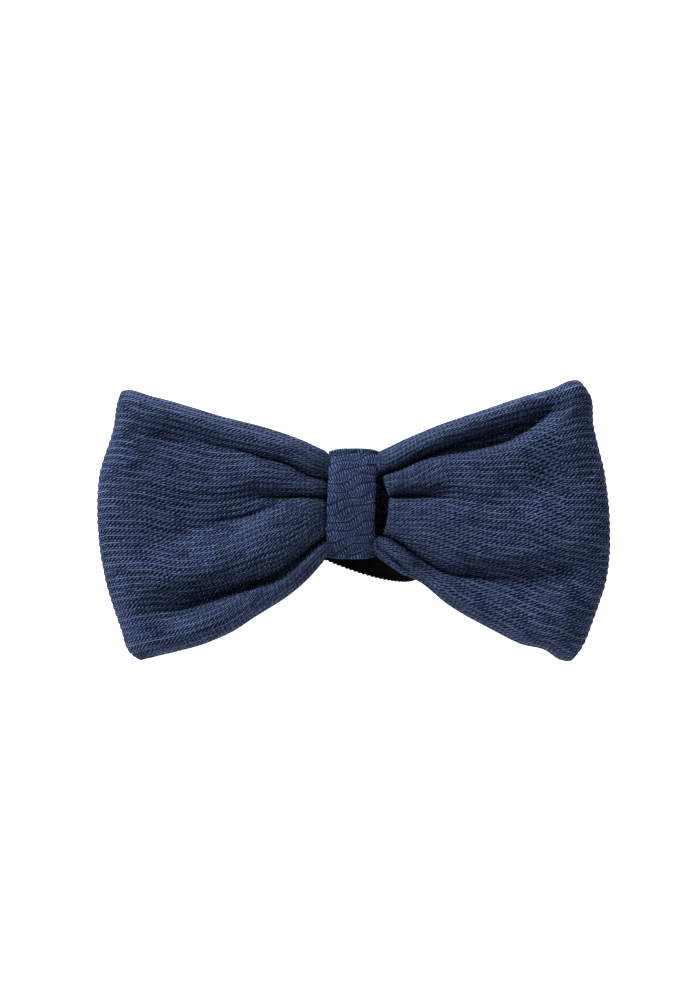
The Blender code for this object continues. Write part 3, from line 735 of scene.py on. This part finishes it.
def thread_tube(name, runs, radius, sides=10):
    """Thread along one or more runs of points, as one mesh of closed tubes."""
    angles = np.linspace(0, 2 * math.pi, sides, endpoint=False)
    points, knit, faces = [], [], []
    for run in runs:
        line, along = spaced(run, THREAD_STEP)
        line = smoothed(line, THREAD_SMOOTHING)
        step = unit(np.gradient(line, axis=0))
        side = unit(np.cross(step, np.array([0.31, 0.17, 0.93])))
        over = np.cross(step, side)
        taper = np.sqrt(1 - (1 - np.clip(np.minimum(along, along[-1] - along) / radius, 0.15, 1)) ** 2)
        # Two plies twisted together, so the tube's section turns along it.
        turned = angles[None] - (2 * math.pi * along / PLY_TURN)[:, None]
        reach = radius * taper[:, None] * (1 + PLY_SWELL * np.cos(2 * turned))
        ring = line[:, None] + side[:, None] * (np.cos(angles) * reach)[..., None]
        ring = ring + over[:, None] * (np.sin(angles) * reach)[..., None]
        base = sum(len(p) for p in points)
        end = base + (len(line) - 1) * sides
        faces += [[base + v for v in f] for f in ring_faces(len(line), sides)]
        faces.append([base + k for k in reversed(range(sides))])
        faces.append([end + k for k in range(sides)])
        points.append(ring.reshape(-1, 3))
        knit.append(on_fabric(along[:, None], turned / (2 * math.pi), 0.0).reshape(-1, 3))
    return mesh_object(name, np.concatenate(points), faces, np.concatenate(knit))


def make_closing_stitches():
    """Whip stitches on the band's lapped end: each rises out of the lap, crosses its edge and dives in."""
    face, under = BAND_HIGH[1], BAND_HIGH[1] - LAP_STEP
    reach = STRIP_WIDTH / 2 - 1.0
    runs = []
    for k in range(WHIP_STITCHES):
        z = LAP_EDGE_Z + 0.18 * math.sin(2.4 * k)
        x = -reach + 2 * reach * (k + 0.5) / WHIP_STITCHES + math.tan(BAND_LEAN) * z
        top, bottom = z + 1.5 + 0.2 * math.sin(1.9 * k), z - 1.1
        runs.append([
            (x + WHIP_SLANT, face - 0.55, top + 0.15),
            (x + WHIP_SLANT, face + 0.08, top - 0.1),
            (x + WHIP_SLANT * 0.5, face + 0.24, mix(top, z, 0.6)),
            (x, face + 0.14, z - 0.02),
            (x - WHIP_SLANT * 0.4, face - LAP_STEP * 0.5, z - 0.42),
            (x - WHIP_SLANT, under + 0.12, bottom + 0.1),
            (x - WHIP_SLANT, under - 0.5, bottom - 0.15),
        ])
    return thread_tube("closing_whip_stitches", runs, THREAD / 2)


# Materials.


class Nodes:
    """Short calls for building a material's node tree."""

    def __init__(self, name):
        self.material = bpy.data.materials.new(name)
        self.material.use_nodes = True
        self.tree = self.material.node_tree
        self.shader = self.tree.nodes["Principled BSDF"]

    def add(self, kind, inputs=None, **settings):
        node = self.tree.nodes.new(kind)
        for key, value in settings.items():
            setattr(node, key, value)
        for key, value in (inputs or {}).items():
            self.feed(node.inputs[key], value)
        return node

    def feed(self, socket, value):
        if isinstance(value, bpy.types.NodeSocket):
            self.tree.links.new(value, socket)
        else:
            socket.default_value = value

    def math(self, operation, *values):
        node = self.add("ShaderNodeMath", dict(enumerate(values)), operation=operation)
        return node.outputs[0]

    def wave(self, phase):
        """0.5 + 0.5 cos(2 pi phase)"""
        turned = self.math("COSINE", self.math("MULTIPLY", phase, 2 * math.pi))
        return self.math("MULTIPLY_ADD", turned, 0.5, 0.5)

    def hump(self, value, centre, width):
        """1 at the centre, falling to 0 a width away as a parabola."""
        off = self.math("DIVIDE", self.math("SUBTRACT", value, centre), width)
        return self.math("MAXIMUM", self.math("SUBTRACT", 1.0, self.math("MULTIPLY", off, off)), 0.0)

    def noise(self, vector, scale, detail=2.0, roughness=0.5):
        inputs = {"Vector": vector, "Scale": scale, "Detail": detail, "Roughness": roughness}
        return self.add("ShaderNodeTexNoise", inputs).outputs["Fac"]

    def grain(self, vector, scales, detail=2.0, roughness=0.5):
        """Noise with its own scale along each axis."""
        return self.noise(self.stretch(vector, scales), 1.0, detail, roughness)

    def stretch(self, vector, scales):
        return self.add("ShaderNodeVectorMath", {0: vector, 1: scales}, operation="MULTIPLY").outputs[0]

    def toned(self, tone, noise, gain):
        """The tone with a noise around it, which leaves its mean."""
        return self.math("MULTIPLY_ADD", self.math("SUBTRACT", noise, 0.5), gain, tone)

    def ramp(self, factor, *stops):
        node = self.add("ShaderNodeValToRGB", {"Fac": factor})
        elements = node.color_ramp.elements
        while len(elements) < len(stops):
            elements.new(0.5)
        for element, (at, colour) in zip(elements, stops):
            element.position = at
            element.color = (*colour, 1)
        return node.outputs["Color"]

    def place(self):
        """Each point's place on its fabric in millimetres, whole and as its first two coordinates."""
        place = self.add("ShaderNodeAttribute", attribute_name="knit_mm").outputs["Vector"]
        split = self.add("ShaderNodeSeparateXYZ", {0: place})
        return place, split.outputs[0], split.outputs[1]

    def surface(self, colour, roughness, height, depth):
        """Feeds the shader a colour, a roughness and a bump this many millimetres deep."""
        bump = self.add("ShaderNodeBump", {"Height": height, "Distance": depth * MM, "Strength": 1.0})
        self.feed(self.shader.inputs["Base Color"], colour)
        self.feed(self.shader.inputs["Roughness"], roughness)
        self.feed(self.shader.inputs["Normal"], bump.outputs[0])
        return self.material


def wing_material():
    """Navy knit: two rows of slanted stitches between thin raised lines, with painted shade between the
    stitches and painted highlights along the lines.
    """
    n = Nodes("navy_wing_knit")
    place, along, across = n.place()
    drift = n.grain(place, (0.16, 0.4, 1.0), 3.0, 0.6)
    uneven = n.grain(place, (0.35, 0.2, 1.0))
    loose = n.grain(place, (0.5, 0.8, 1.0))
    strand = n.grain(place, (0.2, 1.5, 1.0))
    fibre = n.grain(place, (4.0, 6.0, 1.0), 3.0, 0.65)
    rib = n.math("ADD", n.math("DIVIDE", across, RIB_PITCH), n.math("MULTIPLY_ADD", uneven, 0.3, -0.15))
    # The stitches lean so far that each row of them starts where the row below leaves off.
    stitch = n.math("SUBTRACT", n.math("DIVIDE", along, STITCH_PITCH), n.math("MULTIPLY", rib, 2.0))
    stitch = n.math("ADD", stitch, n.math("MULTIPLY", loose, 1.3))
    rib = n.math("FRACT", rib)
    rows = n.math("ADD", n.hump(rib, 0.295, 0.235), n.hump(rib, 0.71, 0.235))
    # Between the stitches the tone falls to the ramp's near-black stops: painted shade in the gaps.
    stitches = n.math("MULTIPLY", n.wave(stitch), rows)
    # The raised lines take the ramp's bright stops: painted highlights, as well as relief in the bump.
    line = n.math("ADD", n.hump(rib, 0.0, 0.13), n.hump(rib, 1.0, 0.13))
    line = n.math("MULTIPLY", line, n.math("MAXIMUM", n.math("MULTIPLY_ADD", strand, 4.4, -1.2), 0.3))
    yarn = n.math("MAXIMUM", stitches, line)
    tone = n.toned(n.toned(yarn, fibre, 0.6), drift, 0.7)
    return navy_cotton(n, tone, yarn, fibre, 0.3)


def band_material():
    """The band's knit, turned the other way: tall stitches side by side between its ribs' grooves, with
    painted shade darkening each groove and a painted highlight along the line just above it.
    """
    n = Nodes("navy_band_knit")
    place, along, across = n.place()
    drift = n.grain(place, (0.5, 0.4, 1.0), 3.0)
    loose = n.grain(place, (0.6, 0.5, 1.0))
    strand = n.grain(place, (0.4, 0.9, 1.0))
    fibre = n.grain(place, (9.0, 6.0, 1.0), 3.0, 0.65)
    # 100 whole ribs keep the count positive.
    rib = n.math("FRACT", n.math("ADD", n.math("DIVIDE", across, BAND_RIB_PITCH), 100.0))
    bow = n.math("SUBTRACT", rib, 0.45)
    leaned = n.math("ADD", along, n.math("MULTIPLY", n.math("MULTIPLY", bow, bow), 1.6))
    stitch = n.math("ADD", n.math("DIVIDE", leaned, BAND_STITCH_PITCH), n.math("MULTIPLY", loose, 2.0))
    column = n.math("MULTIPLY", n.wave(stitch), n.hump(rib, 0.71, 0.34))
    lower = n.math("MULTIPLY", n.wave(n.math("ADD", stitch, 0.5)), n.hump(rib, 0.26, 0.32))
    strand = n.math("MULTIPLY_ADD", strand, 4.2, -1.7)
    strand = n.math("MINIMUM", n.math("MAXIMUM", strand, 0.0), 1.0)
    # A bright line just above each groove: a painted highlight, which also raises the bump.
    line = n.math("MULTIPLY", n.hump(rib, 0.10, 0.07), strand)
    # The grooves between the ribs are darkened: painted shade, which also lowers the bump.
    dark = n.math("ADD", n.hump(rib, 0.0, 0.07), n.hump(rib, 1.0, 0.06))
    yarn = n.math("MAXIMUM", column, n.math("MULTIPLY", lower, 0.8))
    yarn = n.math("MULTIPLY_ADD", n.math("MAXIMUM", yarn, line), 0.9, 0.08)
    yarn = n.math("SUBTRACT", yarn, n.math("MULTIPLY", n.math("MULTIPLY", dark, strand), 0.3))
    tone = n.toned(n.toned(yarn, fibre, 0.7), drift, 0.5)
    return navy_cotton(n, tone, yarn, fibre, 0.22)


def navy_cotton(n, tone, yarn, fibre, depth):
    """The navy cotton's colours by how raised the yarn is, with painted shade in the gaps between stitches
    and painted highlights on the raised yarn, its matt surface and its soft sheen.
    """
    # Painted light: the near-black low stops paint shade into the gaps, and the top stop paints highlights
    # on the raised yarn.
    colour = n.ramp(
        tone,
        (0.02, (0.0011, 0.0025, 0.0100)),
        (0.22, (0.0045, 0.0095, 0.0300)),
        (0.50, (0.0240, 0.0395, 0.0955)),
        (0.95, (0.0980, 0.1390, 0.2730)),
    )
    n.shader.inputs["Specular IOR Level"].default_value = 0.08
    n.shader.inputs["Sheen Weight"].default_value = 0.02
    n.shader.inputs["Sheen Roughness"].default_value = 0.5
    n.shader.inputs["Sheen Tint"].default_value = (0.45, 0.55, 0.85, 1)
    height = n.math("MULTIPLY_ADD", fibre, 0.3, yarn)
    return n.surface(colour, n.math("MULTIPLY_ADD", fibre, 0.16, 0.78), height, depth)


def elastic_material():
    """Black knitted elastic: cross ribs and finer rows of loops along it, its colour lighter on the raised
    yarn as painted glints and darker in the troughs as painted shade.
    """
    n = Nodes("black_ribbed_elastic")
    place, along, across = n.place()
    ridge = n.wave(n.math("DIVIDE", along, ELASTIC_RIB_PITCH))
    loops = n.wave(n.math("ADD", n.math("DIVIDE", across, 0.5), n.math("MULTIPLY", ridge, 0.35)))
    rows = n.wave(n.math("DIVIDE", across, ELASTIC_WALE))
    fibre = n.grain(place, (6.0, 9.0, 2.0), 3.0, 0.6)
    yarn = n.math("MULTIPLY", n.math("MULTIPLY_ADD", loops, 0.6, 0.4), ridge)
    height = n.math("ADD", yarn, n.math("MULTIPLY_ADD", fibre, 0.3, n.math("MULTIPLY", rows, 0.25)))
    # Painted light: the raised ribs and loops take the lighter stops as painted glints, and the troughs take
    # the darkest as painted shade; the fibre noise is random tone.
    colour = n.ramp(
        n.math("MULTIPLY_ADD", fibre, 0.35, n.math("MULTIPLY", yarn, 0.65)),
        (0.0, (0.0002, 0.0002, 0.0003)),
        (0.6, (0.0006, 0.0006, 0.0008)),
        (1.0, (0.0060, 0.0060, 0.0070)),
    )
    n.shader.inputs["Specular IOR Level"].default_value = 0.02
    return n.surface(colour, n.math("MULTIPLY_ADD", fibre, 0.2, 0.7), height, 0.16)


def dyed_thread(n, tone, fibre, dark, light):
    """Dull dyed thread: on twisted thread darker between the plies as painted shade, and with fibres of
    random tone.
    """
    n.shader.inputs["Specular IOR Level"].default_value = 0.15
    roughness = n.math("MULTIPLY_ADD", fibre, 0.2, 0.6)
    return n.surface(n.ramp(tone, dark, light), roughness, tone, 0.08)


def thread_material(name, dark, light):
    """Twisted sewing thread, from the plies' turn round each point."""
    n = Nodes(name)
    place, _, turn = n.place()
    ply = n.wave(n.math("MULTIPLY", turn, 2.0))
    fibre = n.grain(place, (7.0, 9.0, 1.0), 3.0, 0.6)
    # Where the two plies meet the colour goes dark: painted shade between the plies.
    tone = n.math("MULTIPLY_ADD", fibre, 0.5, n.math("MULTIPLY", ply, 0.5))
    return dyed_thread(n, tone, fibre, (0.1, dark), (0.9, light))


def solid_thread_material(name, dark, light):
    """The same thread for a frame node, which has no place on a fabric: fine fibres along its own shape."""
    n = Nodes(name)
    place = n.add("ShaderNodeTexCoord").outputs["Object"]
    fibre = n.noise(place, 4200.0, 3.0, 0.6)
    twist = n.noise(n.stretch(place, (1.0, 1.0, 0.35)), 2600.0, 1.0)
    tone = n.math("MULTIPLY_ADD", fibre, 0.6, n.math("MULTIPLY", twist, 0.4))
    return dyed_thread(n, tone, fibre, (0.3, dark), (0.7, light))


def fleece_material():
    """Soft needled fleece: tangled white fibres with small tufts."""
    n = Nodes("white_needled_fleece")
    place = n.add("ShaderNodeTexCoord").outputs["Object"]
    tufts = n.noise(place, 650.0, 4.0, 0.6)
    fibre = n.noise(place, 3200.0, 4.0, 0.7)
    tone = n.math("MULTIPLY_ADD", tufts, 0.55, n.math("MULTIPLY", fibre, 0.45))
    colour = n.ramp(tone, (0.3, (0.58, 0.57, 0.53)), (0.7, (0.84, 0.84, 0.81)))
    n.shader.inputs["Sheen Weight"].default_value = 0.2
    return n.surface(colour, n.math("MULTIPLY_ADD", tufts, 0.1, 0.86), tone, 0.5)


# The stage, in metres.


def make_backdrop():
    """A pale floor that sweeps up behind."""
    radius, depth, floor_z, half = 0.5, 1.6, -0.34, 2.5
    profile = [(-3.0, floor_z)]
    for k in range(13):
        angle = math.pi / 2 * k / 12
        y, z = depth - radius + radius * math.sin(angle), floor_z + radius - radius * math.cos(angle)
        profile.append((y, z))
    profile.append((depth, 3.0))
    mesh = bpy.data.meshes.new("backdrop")
    points = [(x, y, z) for y, z in profile for x in (-half, half)]
    faces = [(k, k + 1, k + 3, k + 2) for k in range(0, len(points) - 2, 2)]
    mesh.from_pydata(points, [], faces)
    mesh.shade_smooth()
    backdrop = bpy.data.objects.new("backdrop", mesh)
    bpy.context.scene.collection.objects.link(backdrop)
    n = Nodes("pale_backdrop")
    n.shader.inputs["Base Color"].default_value = (0.93, 0.93, 0.93, 1)
    n.shader.inputs["Roughness"].default_value = 0.9
    mesh.materials.append(n.material)


def add_light(name, place, size, power, target=(0, 0, 0), spread=180):
    light = bpy.data.lights.new(name, "AREA")
    light.spread = math.radians(spread)
    light.shape = "DISK"
    light.size = size
    light.energy = power
    obj = bpy.data.objects.new(name, light)
    obj.location = place
    obj.rotation_euler = (Vector(target) - Vector(place)).to_track_quat("-Z", "Y").to_euler()
    bpy.context.scene.collection.objects.link(obj)


def make_lights():
    """A grazing key light from the upper left, a fill from the right, a backdrop light and a dim sky."""
    world = bpy.data.worlds.new("studio")
    bpy.context.scene.world = world
    world.use_nodes = True
    world.node_tree.nodes["Background"].inputs["Color"].default_value = (1, 1, 1, 1)
    world.node_tree.nodes["Background"].inputs["Strength"].default_value = 0.11
    add_light("key", (-0.85, -0.52, 0.85), 0.3, 0.95, spread=30)
    add_light("right_fill", (0.75, -0.5, 0.8), 0.6, 0.6, spread=60)
    add_light("backdrop_light", (0.0, 0.7, 1.3), 1.4, 60.0, target=(0, 1.6, 0))


def make_camera():
    """A long lens straight in front of the bow."""
    scene = bpy.context.scene
    camera = bpy.data.cameras.new("camera")
    camera.lens = 135
    camera.sensor_width = 36
    camera.clip_start = 0.01
    holder = bpy.data.objects.new("camera", camera)
    scene.collection.objects.link(holder)
    distance = camera.lens / camera.sensor_width * VIEW_HEIGHT
    holder.location = (-0.0005, MIDDLE_Y * MM - distance, 0.0008)
    holder.rotation_euler = (math.pi / 2, 0, 0)
    scene.camera = holder
    scene.view_settings.view_transform = "Standard"


def dress_wings():
    wing_knit = wing_material()
    for side in ("left", "right"):
        wing = make_wing(side)
        wing.data.materials.append(wing_knit)
        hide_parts(f"{side}_wing", "gathered_waist")
        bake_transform(wing)


def dress_knot():
    band, band_length = make_band()
    band.data.materials.append(band_material())
    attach(band, "knot")
    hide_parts("centre_band")

    stitches = make_closing_stitches()
    stitches.data.materials.append(thread_material("navy_sewing_thread", *NAVY_THREAD))
    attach(stitches, "knot")
    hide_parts("band_closing_stitches")


def dress_elastic():
    elastic = make_elastic()
    elastic_finish = elastic_material()
    for piece in elastic.values():
        piece.data.materials.append(elastic_finish)
    for side in ("left", "right"):
        end = elastic[f"elastic_{side}_end"]
        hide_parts(f"elastic_end_{side}")
        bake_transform(end)
    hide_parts("elastic_leg_left", "elastic_leg_right", "elastic_back_span")
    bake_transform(elastic["elastic_loop"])


def dress_frame_nodes():
    """Materials for the frame's own solids that stay in view from some side or inside the wings."""
    for node, finish in (
        ("gathering_thread", solid_thread_material("navy_gathering_thread", *NAVY_THREAD)),
        ("splice_stitches", solid_thread_material("black_sewing_thread", *BLACK_THREAD)),
        ("left_interlining", fleece_material()),
        ("right_interlining", fleece_material()),
    ):
        mesh = frame["nodes"][node].data
        mesh.materials.clear()
        mesh.materials.append(finish)


make_backdrop()
make_lights()
make_camera()
dress_wings()
dress_knot()
dress_elastic()
dress_frame_nodes()
